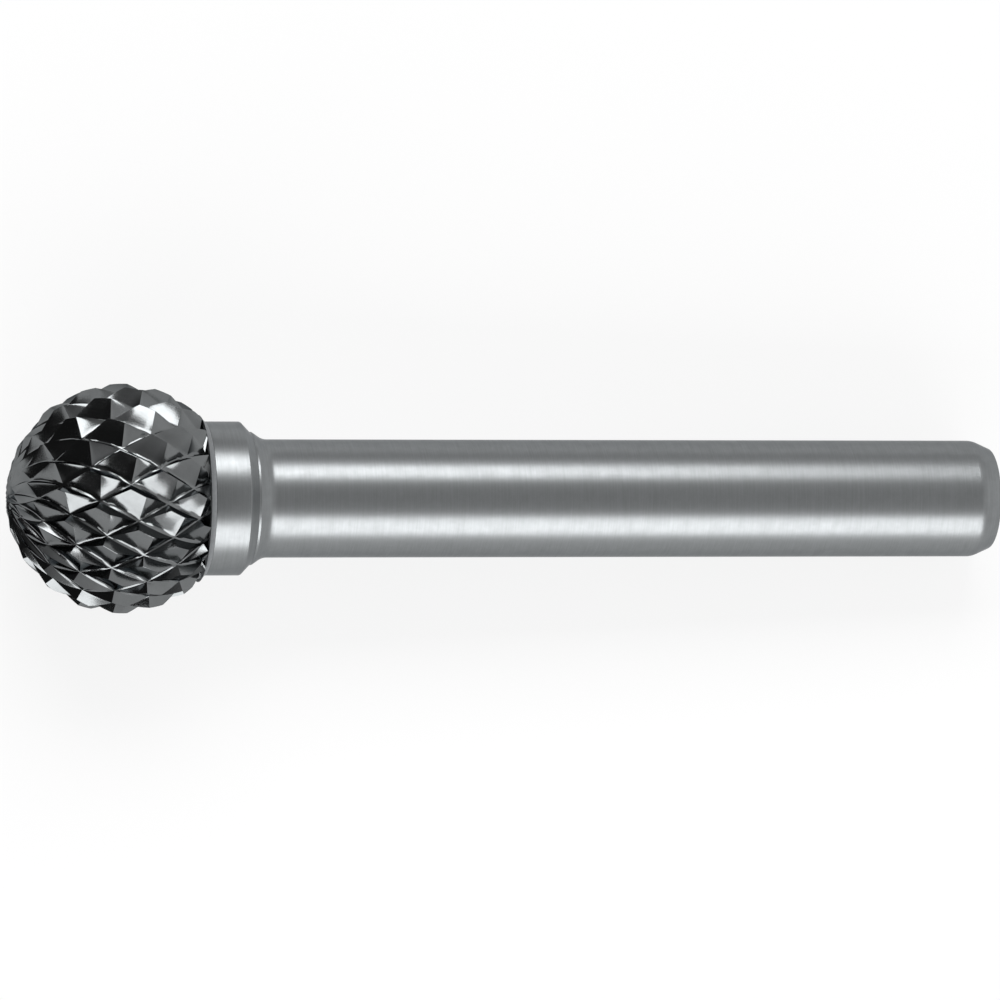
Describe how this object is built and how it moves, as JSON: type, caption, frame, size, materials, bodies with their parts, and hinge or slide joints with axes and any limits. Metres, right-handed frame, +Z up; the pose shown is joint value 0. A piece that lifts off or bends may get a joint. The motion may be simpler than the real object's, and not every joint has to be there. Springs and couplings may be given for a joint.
{
  "type": "carbide burr",
  "caption": "Ball-shaped rotary cutting burr with a cross-cut head brazed to a straight round shank, lying on its side.",
  "frame": {"origin": "on the floor, under the middle of the tool's box as it lies on its side", "axes": "+X runs along the tool from the ball to the shank's end, +Z is up, +Y follows by the right hand"},
  "size_m": [0.0514, 0.0114, 0.0115],
  "materials": {
    "carbide": "ground tungsten carbide, dark grey, mirror-bright on the tooth faces",
    "braze": "fillet of silver braze, matt",
    "steel": "turned and centreless-ground steel, satin"
  },
  "bodies": {
    "root": {"cutting_head": "carbide", "braze_seam": "braze", "shank": "steel"}
  },
  "joints": []
}
